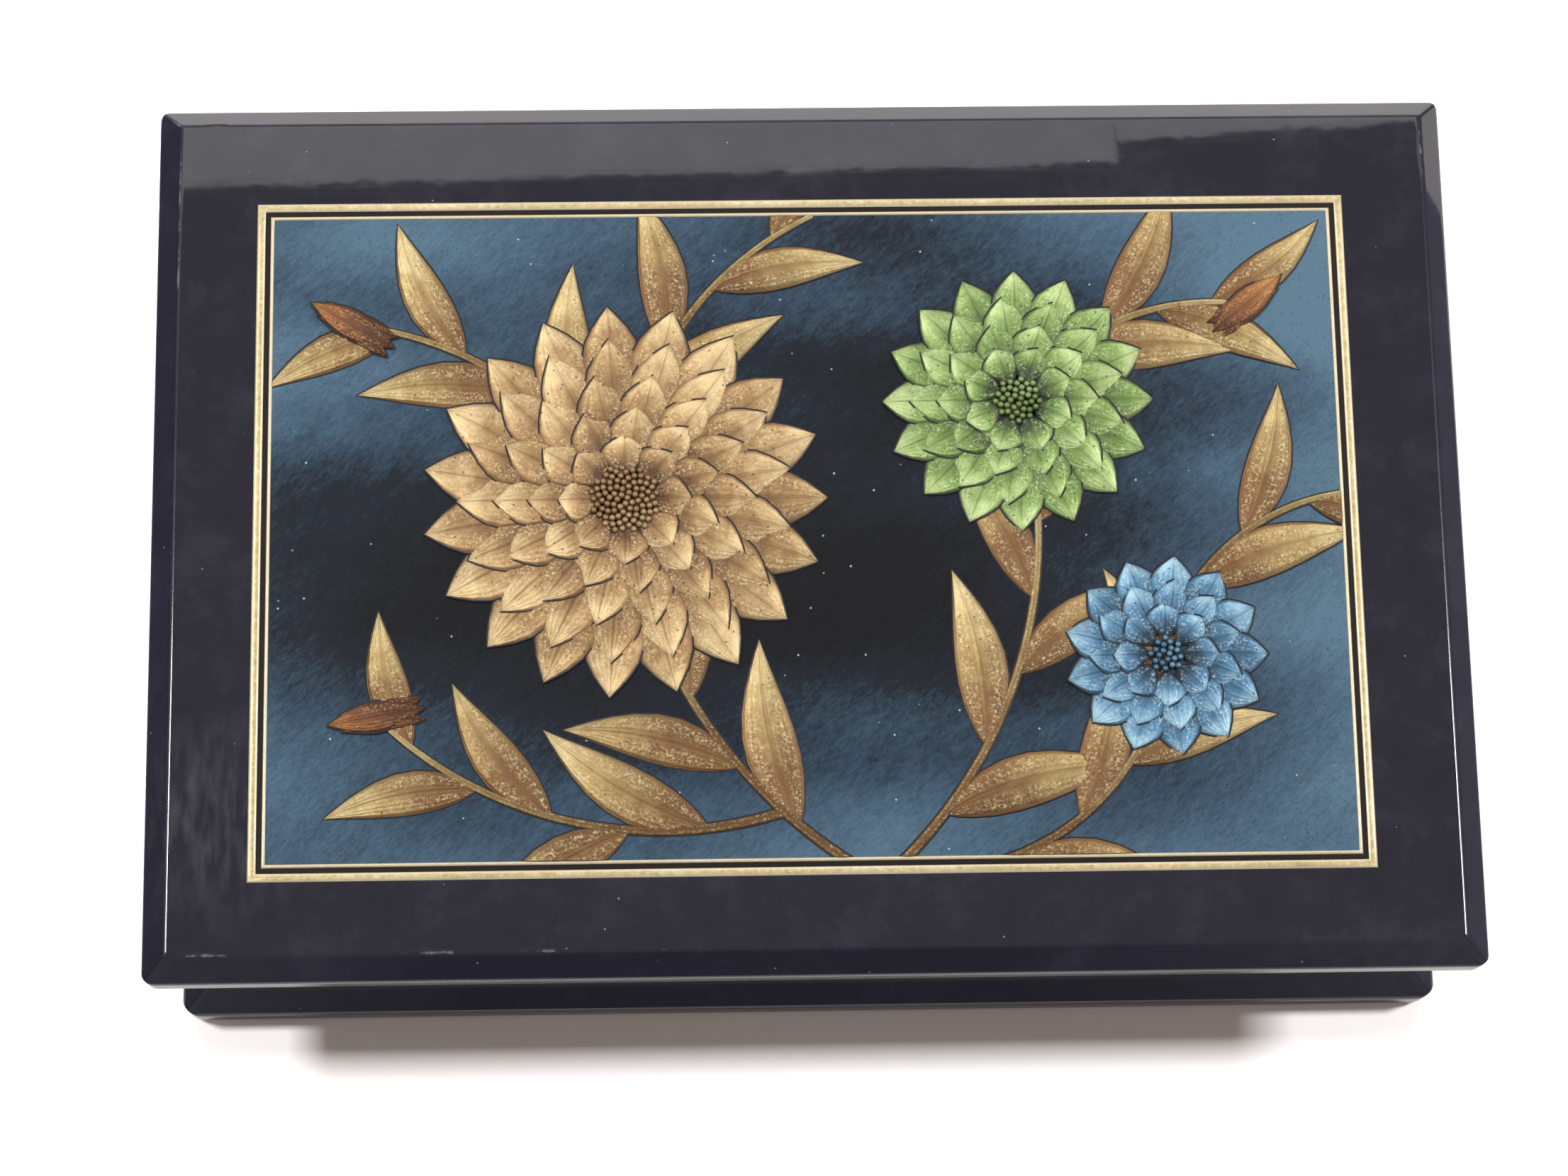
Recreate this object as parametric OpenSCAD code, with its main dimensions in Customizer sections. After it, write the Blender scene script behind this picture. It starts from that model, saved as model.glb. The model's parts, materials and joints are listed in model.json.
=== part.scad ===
// Low lacquered keepsake box: a bevelled lid on two butt hinges, set-back walls and a bevelled base.
// Millimetres. Origin at the centre of the underside, +X to the right, +Y to the hinges, +Z up.

/* [Outline] */
// Width of the lid, left to right
box_w = 150; // [130:0.5:220]
// Depth of the lid and of the base, front to back
box_d = 102.5; // [90:0.5:160]
// Height of the walls between the base and the lid
wall_h = 21.6; // [16:0.2:60]
// Distance of the walls inside the edges of the lid
setback = 5; // [4.6:0.1:8]
// Thickness of a wall board
wall_t = 6; // [5.8:0.1:9]
// Radius of the upright corners of the walls
wall_corner_r = 1.2; // [0.5:0.1:3]

/* [Lid and base boards] */
// Thickness of the lid board
lid_t = 6.2; // [5.6:0.1:10]
// Radius of the upright corners of the lid
lid_corner_r = 1.6; // [0.5:0.1:2.6]
// Thickness of the base board
base_t = 6.8; // [5:0.1:12]
// Radius of the upright corners of the base
base_corner_r = 2.2; // [0.5:0.1:2.6]
// Bevel round the tops of both boards, measured along each face
bevel = 2.8; // [2.7:0.1:3.6]
// Distance of each end of the base inside the lid's end
base_step = 0.9; // [0:0.1:1]
// Thickness of the felt under the base
felt_t = 1; // [0.6:0.1:3]
// Distance of the felt inside the edge of the base
felt_inset = 4; // [2:0.5:12]
// Radius of the felt's corners
felt_corner_r = 3; // [1:0.5:8]

/* [Picture] */
// Lacquer margin at each side of the picture, from the lid's edge
side_margin = 12.1; // [8:0.1:20]
// Lacquer margin in front of and behind the picture, from the lid's edge
end_margin = 11.65; // [8:0.1:20]
// Shift of the picture to the right of the lid's centre
picture_dx = -0.3; // [-2:0.1:2]
// Shift of the picture to the back of the lid's centre
picture_dy = -0.8; // [-2:0.1:2]
// Thickness of the foil plate
plate_t = 0.5; // [0.3:0.1:1.2]
// Gap round the foil plate in its pocket
plate_gap = 0.05; // [0.02:0.01:0.2]
// Width of the outer gold line
outer_line_w = 0.95; // [0.5:0.05:2]
// Dark gap between the two gold lines
line_gap = 0.65; // [0.3:0.05:2]
// Width of the inner gold line
inner_line_w = 0.42; // [0.3:0.02:1.2]
// Height of the gold lines above the plate
line_h = 0.12; // [0.08:0.02:0.4]

/* [Embossed spray] */
// Height of the stems and leaves above the plate
foliage_h = 0.25; // [0.15:0.05:0.6]
// Width of a stem
stem_w = 1.1; // [0.6:0.1:2]
// Length of the longest leaf
leaf_l = 23; // [12:0.5:28]
// Width of the widest leaf
leaf_w = 6.4; // [3:0.1:8]
// Angle between a leaf and its stem
leaf_spread = 38; // [20:1:60]
// Height of each layer of petals
petal_h = 0.16; // [0.1:0.02:0.4]
// Width of a petal, as a share of its blossom's radius times the number of petals
petal_share = 4.4; // [2:0.2:5]
// Radius of the large blossom
large_r = 23; // [14:0.5:24]
// Radius of the green blossom
green_r = 15.5; // [8:0.5:16]
// Radius of the blue blossom
blue_r = 11.5; // [6:0.5:12]
// Length of a bud
bud_l = 11; // [6:0.5:14]
// Width of a bud
bud_w = 5; // [3:0.1:7]
// Gap between a blossom or bud and the foliage round it
spray_gap = 0.15; // [0.05:0.05:0.5]

/* [Hinges] */
// Length of a hinge
hinge_l = 24; // [18:0.5:30]
// Distance from the end of the back wall to the nearer end of a hinge
hinge_inset = 16; // [10:0.5:30]
// Radius of the hinge barrel
barrel_r = 1.5; // [1.3:0.05:1.7]
// Gap between the barrel and the face of the back wall
barrel_gap = 0.15; // [0.1:0.05:0.4]
// Gap between the barrel and the groove for it in the lid
groove_gap = 0.35; // [0.3:0.05:0.6]
// Gap between neighbouring knuckles
knuckle_gap = 0.25; // [0.2:0.05:0.5]
// Radius of the hinge pin
pin_r = 0.75; // [0.5:0.05:0.8]
// Running clearance round the pin
pin_clear = 0.05; // [0.02:0.01:0.1]
// Length of the pin's domed head beyond the barrel
pin_head = 0.5; // [0.3:0.1:1]
// Width of a hinge leaf, from the pin's centre
hinge_leaf_w = 7; // [6.6:0.1:7.2]
// Thickness of a hinge leaf
hinge_leaf_t = 0.8; // [0.6:0.05:1]
// Gap between the two leaves of a closed hinge
leaf_gap = 0.2; // [0.1:0.05:0.4]
// Gap round a leaf in its pocket
pocket_gap = 0.15; // [0.05:0.05:0.4]
// Radius of a screw's head
head_r = 1.5; // [1.2:0.05:1.7]
// Radius of a screw's shank
shank_r = 0.75; // [0.5:0.05:0.8]
// Length of a screw below its leaf
screw_l = 3.6; // [2.5:0.1:4]
// Distance between neighbouring screws
screw_pitch = 8; // [6:0.1:8.5]
// Clearance round a screw
screw_clear = 0.04; // [0.02:0.01:0.1]

/* [Lining] */
// Thickness of the velvet-covered lining boards
lining_t = 1.2; // [0.8:0.1:2.5]
// Thickness of the lining board under the lid
lid_lining_t = 1.6; // [1:0.1:3]
// Gap round the lid's lining board inside the walls
lid_lining_gap = 1; // [0.5:0.1:2]
// Gap between the lid's lining board and the wall linings below it
lining_drop = 0.6; // [0.4:0.1:2]
// Gap between neighbouring lining boards
lining_gap = 0.1; // [0.05:0.05:0.5]

/* [Hidden] */
$fn = 64;

// Overrun of a cutting shape past the face that it cuts
cut = 1;

// Heights of the stacked boards
base_z = felt_t;
wall_z = base_z + base_t;
lid_z = wall_z + wall_h;
top_z = lid_z + lid_t;

// Plan sizes of the base, and of the walls outside and inside
base_w = box_w - 2 * base_step;
wall_w = box_w - 2 * setback;
wall_d = box_d - 2 * setback;
inner_w = wall_w - 2 * wall_t;
inner_d = wall_d - 2 * wall_t;

// The picture: its plate, and the field inside the inner gold line
picture_w = box_w - 2 * side_margin;
picture_d = box_d - 2 * end_margin;
field_inset = outer_line_w + line_gap + inner_line_w;
field_w = picture_w - 2 * field_inset;
field_d = picture_d - 2 * field_inset;

// Blossoms and buds: place as a share of the field's half width and half depth
large_at = [-0.34, 0.10];
green_at = [0.40, 0.40];
blue_at = [0.66, -0.40];
bud_at = [[-0.85, 0.66], [-0.80, -0.56], [0.84, 0.70]];
bud_turn = [150, 190, 40];

// Stems: start, end, bow as a share of the span, and the number of leaves
stems = [
    [[0.10, -1.05], large_at, 0.12, 5],
    [[0.14, -1.05], green_at, -0.14, 6],
    [[0.24, -1.05], blue_at, -0.18, 4],
    [large_at, bud_at[0], -0.12, 4],
    [[-0.05, -0.86], bud_at[1], 0.14, 5],
    [green_at, bud_at[2], 0.14, 4],
    [large_at, [0.02, 1.00], 0.14, 4],
    [blue_at, [1.02, 0.10], 0.16, 3]
];

// Hinge places: the pin's centre line, and the two hinges along it
hinge_y = wall_d / 2 + barrel_gap + barrel_r;
hinge_x = wall_w / 2 - hinge_inset - hinge_l / 2;
knuckles = 5;
knuckle_l = (hinge_l - (knuckles - 1) * knuckle_gap) / knuckles;
screw_y = -(barrel_r + knuckle_gap + hinge_leaf_w) / 2;
pocket_depth = hinge_leaf_t + leaf_gap / 2;

// Lining heights
lining_z = wall_z + lining_t;
wall_lining_h = lid_z - lid_lining_t - lining_drop - lining_z;

lacquer = "#1c1b24";
foil_blue = "#28485f";
gold = "#dcc088";
tan_gold = "#c8a468";
leaf_green = "#a5c47c";
pale_blue = "#7fb0cc";
rust = "#9a6234";
velvet = "#5b1520";
felt = "#26302a";
brass = "#b58e48";

// Rectangle with round corners
module round_rect(w, d, r) {
    square([w - 2 * r, d], center = true);
    square([w, d - 2 * r], center = true);
    for (x = [-1, 1], y = [-1, 1])
        translate([x * (w / 2 - r), y * (d / 2 - r)]) circle(r);
}

// Section of a board across its width, wide enough to leave the upright edge to the outline
module bevel_section(w, t) {
    half = w / 2 + cut;
    top_half = w / 2 - bevel;
    polygon([[-half, 0], [half, 0], [half, t - bevel - cut], [top_half, t],
        [-top_half, t], [-half, t - bevel - cut]]);
}

// Board with a bevel round its top edge, mitred at the corners, and rounded upright corners
module bevelled_board(w, d, t, r) {
    intersection() {
        linear_extrude(t) round_rect(w, d, r);
        rotate([90, 0, 0]) linear_extrude(d + 2 * cut, center = true) bevel_section(w, t);
        rotate([90, 0, 90]) linear_extrude(w + 2 * cut, center = true) bevel_section(d, t);
    }
}

// Wall board of outer length l with mitred ends, its outside on the line y = -d / 2
module wall_board(l, d) {
    linear_extrude(wall_h) intersection() {
        round_rect(l, d, wall_corner_r);
        polygon([[-l / 2, -d / 2], [l / 2, -d / 2],
            [l / 2 - wall_t, wall_t - d / 2], [wall_t - l / 2, wall_t - d / 2]]);
    }
}

// Lining board of size s with its lowest, nearest left corner at p
module lining_board(s, p) {
    color(velvet) translate(p) cube(s);
}

// Rectangular line of width w, inset from the edge of the picture
module gold_line(inset, w) {
    color(gold) translate([picture_dx, picture_dy, top_z]) linear_extrude(line_h) difference() {
        square([picture_w - 2 * inset, picture_d - 2 * inset], center = true);
        square([picture_w - 2 * (inset + w), picture_d - 2 * (inset + w)], center = true);
    }
}

// Left end of knuckle i, counted from the hinge's left end
function knuckle_x(i) = i * (knuckle_l + knuckle_gap) - hinge_l / 2;

// Both hinges or one: s is -1 for the left hinge and 1 for the right
module at_hinge(s) {
    translate([s * hinge_x, hinge_y, lid_z]) children();
}

// Places of the screws in a leaf, on the leaf's face
module at_screws() {
    for (i = [-1, 0, 1])
        translate([i * screw_pitch, screw_y, -leaf_gap / 2]) children();
}

// Countersunk screw shape below z = 0, with a clearance g all round
module screw_form(g) {
    sink = head_r - shank_r;
    translate([0, 0, -sink]) cylinder(r1 = shank_r + g, r2 = head_r + g, h = sink);
    translate([0, 0, -hinge_leaf_t - screw_l - g]) cylinder(r = shank_r + g, h = screw_l + hinge_leaf_t + g);
}

// Screw with a driver slot
module hinge_screw() {
    slot_w = head_r / 4;
    slot_depth = (head_r - shank_r) / 2;
    difference() {
        screw_form(0);
        translate([-head_r - cut, -slot_w / 2, -slot_depth])
            cube([2 * (head_r + cut), slot_w, slot_depth + cut]);
    }
}

// Lower leaf of a hinge, pin along X at the origin; own lists the knuckles that it carries
module hinge_leaf(own) {
    plate_edge = barrel_r + knuckle_gap;
    color(brass) difference() {
        union() {
            translate([-hinge_l / 2, -hinge_leaf_w, -pocket_depth])
                cube([hinge_l, hinge_leaf_w - plate_edge, hinge_leaf_t]);
            for (i = own) translate([knuckle_x(i), 0, 0]) {
                translate([0, -plate_edge, -pocket_depth]) cube([knuckle_l, plate_edge, hinge_leaf_t]);
                rotate([0, 90, 0]) cylinder(r = barrel_r, h = knuckle_l);
            }
        }
        rotate([0, 90, 0]) cylinder(r = pin_r + pin_clear, h = hinge_l + 2 * cut, center = true);
        at_screws() screw_form(screw_clear);
    }
}

// Hinge pin with a domed head at each end
module hinge_pin() {
    dome_r = (pow(barrel_r, 2) + pow(pin_head, 2)) / (2 * pin_head);
    color(brass) rotate([0, 90, 0]) {
        cylinder(r = pin_r, h = hinge_l + 2 * knuckle_gap, center = true);
        for (s = [0, 1]) mirror([0, 0, s]) translate([0, 0, hinge_l / 2 + knuckle_gap]) intersection() {
            cylinder(r = barrel_r, h = pin_head);
            translate([0, 0, pin_head - dome_r]) sphere(dome_r);
        }
    }
}

// Room for a lower leaf and its screws in the board that it is let into
module leaf_pocket() {
    translate([-hinge_l / 2 - pocket_gap, -hinge_leaf_w - pocket_gap, -pocket_depth])
        cube([hinge_l + 2 * pocket_gap, hinge_leaf_w + pocket_gap, pocket_depth + cut]);
    at_screws() screw_form(screw_clear);
}

// Point on the picture from a share of the field's half width and half depth
function on_field(share) = [share[0] * field_w / 2, share[1] * field_d / 2];

// Leaf or petal outline from the origin along +X: two equal arcs that meet in points
module lens(l, w) {
    arc_r = (l * l + w * w) / (4 * w);
    translate([l / 2, 0]) intersection_for(s = [-1, 1])
        translate([0, s * (arc_r - w / 2)]) circle(arc_r, $fn = 180);
}

// Stem geometry: an arc from a to b whose middle stands off the chord by bow times the chord
function span(a, b) = norm(b - a);
function side(a, b) = [a[1] - b[1], b[0] - a[0]] / span(a, b);
function arc_radius(a, b, bow) = span(a, b) * (1 / (8 * abs(bow)) + abs(bow) / 2);
function arc_centre(a, b, bow) =
    (a + b) / 2 + side(a, b) * (bow * span(a, b) - sign(bow) * arc_radius(a, b, bow));
function bearing(v) = atan2(v[1], v[0]);

// One stem as a strip along its arc, and its leaves on alternate sides
module stem(a, b, bow, leaves) {
    r = arc_radius(a, b, bow);
    c = arc_centre(a, b, bow);
    start = bearing(a - c);
    sweep = -sign(bow) * 2 * asin(span(a, b) / (2 * r));
    reach = 2 * r;
    translate(c) rotate(start) intersection() {
        difference() {
            circle(r + stem_w / 2, $fn = 180);
            circle(r - stem_w / 2, $fn = 180);
        }
        polygon([[0, 0], [reach, 0], reach * [cos(sweep), sin(sweep)]]);
    }
    for (k = [1:leaves]) {
        turn = start + sweep * k / (leaves + 0.6);
        size = 1 - 0.3 * k / leaves;
        way = turn + 90 * sign(sweep) + leaf_spread * (k % 2 == 0 ? 1 : -1);
        translate(c + r * [cos(turn), sin(turn)]) rotate(way) lens(leaf_l * size, leaf_w * size);
    }
}

// Blossom of radius r: layers of petals, each smaller than the one below, and a domed eye
module blossom(r, petals, layers) {
    eye_r = r * 0.18;
    for (k = [0:layers - 1]) {
        reach = r * (1 - 0.26 * k);
        core = reach * 0.62;
        translate([0, 0, k * petal_h]) linear_extrude(petal_h) {
            circle(core);
            for (i = [0:petals - 1]) rotate((i + k / 2) * 360 / petals)
                translate([core * 0.5, 0]) lens(reach - core * 0.5, petal_share * reach / petals);
        }
    }
    translate([0, 0, layers * petal_h]) cylinder(r1 = eye_r, r2 = eye_r * 0.7, h = petal_h);
}

// Place on the plate's face
module on_plate(share) {
    translate([picture_dx, picture_dy, top_z]) translate(on_field(share)) children();
}

// Field of the picture inside the inner gold line
module field() {
    square([field_w - 2 * spray_gap, field_d - 2 * spray_gap], center = true);
}

// Felt sheet under the base
module base_felt() {
    w = base_w - 2 * felt_inset;
    d = box_d - 2 * felt_inset;
    color(felt) linear_extrude(felt_t) round_rect(w, d, felt_corner_r);
}

// Bevelled base board that the walls stand on
module base_board() {
    color(lacquer) translate([0, 0, base_z]) bevelled_board(base_w, box_d, base_t, base_corner_r);
}

// Four mitred walls; the back one is let out for the hinges
module front_wall() {
    color(lacquer) translate([0, 0, wall_z]) wall_board(wall_w, wall_d);
}

module back_wall() {
    color(lacquer) difference() {
        translate([0, 0, wall_z]) rotate(180) wall_board(wall_w, wall_d);
        for (s = [-1, 1]) at_hinge(s) leaf_pocket();
    }
}

module left_wall() {
    color(lacquer) translate([0, 0, wall_z]) rotate(-90) wall_board(wall_d, wall_w);
}

module right_wall() {
    color(lacquer) translate([0, 0, wall_z]) rotate(90) wall_board(wall_d, wall_w);
}

// Velvet-covered boards inside the walls
module floor_lining() {
    w = inner_w - 2 * lining_gap;
    d = inner_d - 2 * lining_gap;
    lining_board([w, d, lining_t], [-w / 2, -d / 2, wall_z]);
}

module front_lining() {
    w = inner_w - 2 * lining_gap;
    lining_board([w, lining_t, wall_lining_h], [-w / 2, -inner_d / 2, lining_z]);
}

module back_lining() {
    w = inner_w - 2 * lining_gap;
    lining_board([w, lining_t, wall_lining_h], [-w / 2, inner_d / 2 - lining_t, lining_z]);
}

module left_lining() {
    d = inner_d - 2 * (lining_t + lining_gap);
    lining_board([lining_t, d, wall_lining_h], [-inner_w / 2, -d / 2, lining_z]);
}

module right_lining() {
    d = inner_d - 2 * (lining_t + lining_gap);
    lining_board([lining_t, d, wall_lining_h], [inner_w / 2 - lining_t, -d / 2, lining_z]);
}

// Hinge leaves in the back wall carry knuckles 0, 2 and 4, those in the lid 1 and 3
module left_hinge_wall_leaf() {
    at_hinge(-1) hinge_leaf([0, 2, 4]);
}

module right_hinge_wall_leaf() {
    at_hinge(1) hinge_leaf([0, 2, 4]);
}

module left_hinge_lid_leaf() {
    at_hinge(-1) mirror([0, 0, 1]) hinge_leaf([1, 3]);
}

module right_hinge_lid_leaf() {
    at_hinge(1) mirror([0, 0, 1]) hinge_leaf([1, 3]);
}

module left_hinge_pin() {
    at_hinge(-1) hinge_pin();
}

module right_hinge_pin() {
    at_hinge(1) hinge_pin();
}

module wall_hinge_screws() {
    color(brass) for (s = [-1, 1]) at_hinge(s) at_screws() hinge_screw();
}

module lid_hinge_screws() {
    color(brass) for (s = [-1, 1]) at_hinge(s) mirror([0, 0, 1]) at_screws() hinge_screw();
}

// Bevelled lid board: pocket for the picture above, leaf pockets and barrel grooves below
module lid_panel() {
    groove_r = barrel_r + groove_gap;
    groove_l = hinge_l + 2 * (pin_head + knuckle_gap + groove_gap);
    color(lacquer) difference() {
        translate([0, 0, lid_z]) bevelled_board(box_w, box_d, lid_t, lid_corner_r);
        translate([picture_dx, picture_dy, top_z - plate_t]) linear_extrude(plate_t + cut)
            square([picture_w, picture_d], center = true);
        for (s = [-1, 1]) at_hinge(s) {
            mirror([0, 0, 1]) leaf_pocket();
            rotate([0, 90, 0]) cylinder(r = groove_r, h = groove_l, center = true);
        }
    }
}

// Foil plate, flush with the lid's face
module picture_plate() {
    color(foil_blue) translate([picture_dx, picture_dy, top_z - plate_t]) linear_extrude(plate_t)
        square([picture_w - 2 * plate_gap, picture_d - 2 * plate_gap], center = true);
}

module outer_gold_line() {
    gold_line(plate_gap, outer_line_w - plate_gap);
}

module inner_gold_line() {
    gold_line(outer_line_w + line_gap, inner_line_w);
}

// Stems and leaves, trimmed to the field and to the blossoms and buds
module relief_foliage() {
    color(gold) on_plate([0, 0]) linear_extrude(foliage_h) difference() {
        intersection() {
            field();
            union() for (s = stems) stem(on_field(s[0]), on_field(s[1]), s[2], s[3]);
        }
        translate(on_field(large_at)) circle(large_r + spray_gap);
        translate(on_field(green_at)) circle(green_r + spray_gap);
        translate(on_field(blue_at)) circle(blue_r + spray_gap);
        for (i = [0:len(bud_at) - 1])
            translate(on_field(bud_at[i])) circle(bud_l / 2 + spray_gap);
    }
}

module relief_large_blossom() {
    color(tan_gold) on_plate(large_at) blossom(large_r, 20, 3);
}

module relief_green_blossom() {
    color(leaf_green) on_plate(green_at) blossom(green_r, 16, 3);
}

module relief_blue_blossom() {
    color(pale_blue) on_plate(blue_at) blossom(blue_r, 14, 2);
}

module relief_buds() {
    color(rust) for (i = [0:len(bud_at) - 1])
        on_plate(bud_at[i]) rotate(bud_turn[i]) linear_extrude(2 * petal_h)
            translate([-bud_l / 2, 0]) lens(bud_l, bud_w);
}

// Velvet-covered board on the lid's underside, inside the walls when the lid is shut
module lid_lining() {
    w = inner_w - 2 * lid_lining_gap;
    d = inner_d - 2 * lid_lining_gap;
    lining_board([w, d, lid_lining_t], [-w / 2, -d / 2, lid_z - lid_lining_t]);
}

base_felt();
base_board();
front_wall();
back_wall();
left_wall();
right_wall();
floor_lining();
front_lining();
back_lining();
left_lining();
right_lining();
left_hinge_wall_leaf();
right_hinge_wall_leaf();
left_hinge_pin();
right_hinge_pin();
wall_hinge_screws();
lid_panel();
picture_plate();
outer_gold_line();
inner_gold_line();
relief_foliage();
relief_large_blossom();
relief_green_blossom();
relief_blue_blossom();
relief_buds();
lid_lining();
left_hinge_lid_leaf();
right_hinge_lid_leaf();
lid_hinge_screws();
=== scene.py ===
import json
import math

import bmesh
import bpy
import numpy as np
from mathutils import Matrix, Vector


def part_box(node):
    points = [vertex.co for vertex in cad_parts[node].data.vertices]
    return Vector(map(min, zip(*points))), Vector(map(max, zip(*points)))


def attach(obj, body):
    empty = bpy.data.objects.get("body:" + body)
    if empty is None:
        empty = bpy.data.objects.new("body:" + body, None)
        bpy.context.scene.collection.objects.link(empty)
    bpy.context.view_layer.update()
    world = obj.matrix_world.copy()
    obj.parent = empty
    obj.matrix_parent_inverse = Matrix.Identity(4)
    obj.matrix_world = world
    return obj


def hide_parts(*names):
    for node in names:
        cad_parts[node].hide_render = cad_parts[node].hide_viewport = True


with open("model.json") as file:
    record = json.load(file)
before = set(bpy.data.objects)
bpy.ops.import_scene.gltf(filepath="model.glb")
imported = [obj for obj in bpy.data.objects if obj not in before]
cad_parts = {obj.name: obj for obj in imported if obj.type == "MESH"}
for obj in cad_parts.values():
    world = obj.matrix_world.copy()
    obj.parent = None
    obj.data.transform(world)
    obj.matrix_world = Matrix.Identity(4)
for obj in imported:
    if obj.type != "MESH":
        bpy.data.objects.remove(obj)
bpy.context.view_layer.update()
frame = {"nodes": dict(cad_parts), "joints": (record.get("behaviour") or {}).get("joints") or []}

# Felt under the base.
# A sheet of dark green pressed wool felt, cut with round corners and glued to the underside,
# so that the lacquered base neither slides nor scratches a table.
MM = 0.001
FELT_CORNER = 3 * MM
FELT_EDGE = 0.35 * MM
FELT_LINES = np.array([0, 0.04, 0.1, 0.2, 0.35, 0.5, 0.9, 1.5, 2.2, 3, 4, 12, 26]) * MM
HAIR = 0.002 * MM
RIM_LINES = np.array([0.04, 0.96])
SHARP = math.radians(40)


def node_box(node):
    """Low and high corner of a CAD node's box."""
    low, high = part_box(node)
    return np.array(low), np.array(high)


def edge_lines(low, high, insets, marks=()):
    """Grid lines from low to high: at each inset from both ends, and on both sides of every mark."""
    beside = [mark + side * HAIR for mark in marks for side in (-1, 1)]
    return np.unique(np.concatenate([low + insets, high - insets, beside]))


def grid_quads(number):
    """Quads between the neighbours in a grid of point numbers."""
    corners = [number[:-1, :-1], number[1:, :-1], number[1:, 1:], number[:-1, 1:]]
    return np.stack(corners, -1).reshape(-1, 4)


def board(x_lines, y_lines, corner, top, under):
    """Closed board on a grid of lines, as points and quads. Its square corners of side r are drawn in to
    quarter discs: with a and b the offsets from the disc's centre over r, a shrinks by sqrt(1 - b*b/2)
    and b by sqrt(1 - a*a/2). top and under give each face's height from x, y, the insets from the nearer
    side in X and in Y, and the distance to the rounded outline. The rim between them has a line at each
    share RIM_LINES."""
    x, y = np.meshgrid(x_lines, y_lines, indexing="ij")
    middle_x, middle_y = (x_lines[0] + x_lines[-1]) / 2, (y_lines[0] + y_lines[-1]) / 2
    half_x, half_y = (x_lines[-1] - x_lines[0]) / 2, (y_lines[-1] - y_lines[0]) / 2
    x, y = x - middle_x, y - middle_y
    a = np.clip(np.abs(x) - half_x + corner, 0, None) / corner
    b = np.clip(np.abs(y) - half_y + corner, 0, None) / corner
    x, y = (np.sign(x) * (np.abs(x) - corner * a * (1 - np.sqrt(1 - b * b / 2))),
            np.sign(y) * (np.abs(y) - corner * b * (1 - np.sqrt(1 - a * a / 2))))
    in_x, in_y = half_x - np.abs(x), half_y - np.abs(y)
    to_arc = corner - np.hypot(corner - in_x, corner - in_y)
    edge = np.where((in_x < corner) & (in_y < corner), to_arc, np.minimum(in_x, in_y))
    x, y = x + middle_x, y + middle_y
    rows, columns = x.shape
    count = rows * columns
    number = np.arange(count).reshape(rows, columns)
    rim = np.concatenate([number[:-1, 0], number[-1, :-1], number[:0:-1, -1], number[0, :0:-1]])
    upper = np.stack([x, y, top(x, y, in_x, in_y, edge)], -1).reshape(-1, 3)
    lower = np.stack([x, y, under(x, y, in_x, in_y, edge)], -1).reshape(-1, 3)
    wall = lower[rim] + RIM_LINES[:, None, None] * (upper[rim] - lower[rim])
    between = 2 * count + np.arange(len(RIM_LINES) * len(rim)).reshape(len(RIM_LINES), -1)
    rings = np.concatenate([[rim + count], between, [rim]])
    sides = grid_quads(np.concatenate([rings, rings[:, :1]], axis=1).T)
    quads = grid_quads(number)
    points = np.concatenate([upper, lower, wall.reshape(-1, 3)])
    return points, np.concatenate([quads, quads[:, ::-1] + count, sides])


def round_edge(inset, radius):
    """Drop of a quarter-round edge at an inset: radius - sqrt(radius**2 - (radius - inset)**2)."""
    short = np.clip(radius - inset, 0, radius)
    return radius - np.sqrt(radius * radius - short * short)


def make_piece(name, points, faces, body, nodes, material):
    """Mesh object at the origin that rides on a body and stands for CAD nodes; edges past the angle
    SHARP stay sharp."""
    mesh = bpy.data.meshes.new(name)
    mesh.from_pydata(points.tolist(), [], faces.tolist())
    mesh.polygons.foreach_set("use_smooth", np.ones(len(mesh.polygons), bool))
    mesh.set_sharp_from_angle(angle=SHARP)
    mesh.materials.append(material)
    thing = bpy.data.objects.new(name, mesh)
    bpy.context.scene.collection.objects.link(thing)
    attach(thing, body)
    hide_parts(*nodes)
    return thing


def colour(code):
    """Linear RGBA of an sRGB hex colour: c / 12.92 up to 0.04045, and ((c + 0.055) / 1.055)**2.4 above."""
    part = np.array([int(code[i:i + 2], 16) / 255 for i in (1, 3, 5)])
    straight = np.where(part <= 0.04045, part / 12.92, ((part + 0.055) / 1.055) ** 2.4)
    return (*straight.tolist(), 1.0)


def new_material(name):
    """Empty node material of that name, with its tree."""
    material = bpy.data.materials.new(name)
    material.use_nodes = True
    material.node_tree.nodes.clear()
    return material, material.node_tree


def add(tree, kind, values=None, stops=(), **settings):
    """Adds one shader node. settings are its properties, stops the marks of its colour ramp, and values
    its inputs: each is a plain value, an output to link, or a node, which links its first output."""
    made = tree.nodes.new("ShaderNode" + kind)
    for name, setting in settings.items():
        setattr(made, name, setting)
    if stops:
        marks = made.color_ramp.elements
        for _ in stops[2:]:
            marks.new(1.0)
        for mark, (place, shade) in zip(marks, stops):
            mark.position = place
            mark.color = shade
    for name, value in (values or {}).items():
        if isinstance(value, bpy.types.Node):
            value = value.outputs[0]
        if isinstance(value, bpy.types.NodeSocket):
            tree.links.new(value, made.inputs[name])
        else:
            made.inputs[name].default_value = value
    return made


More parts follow.
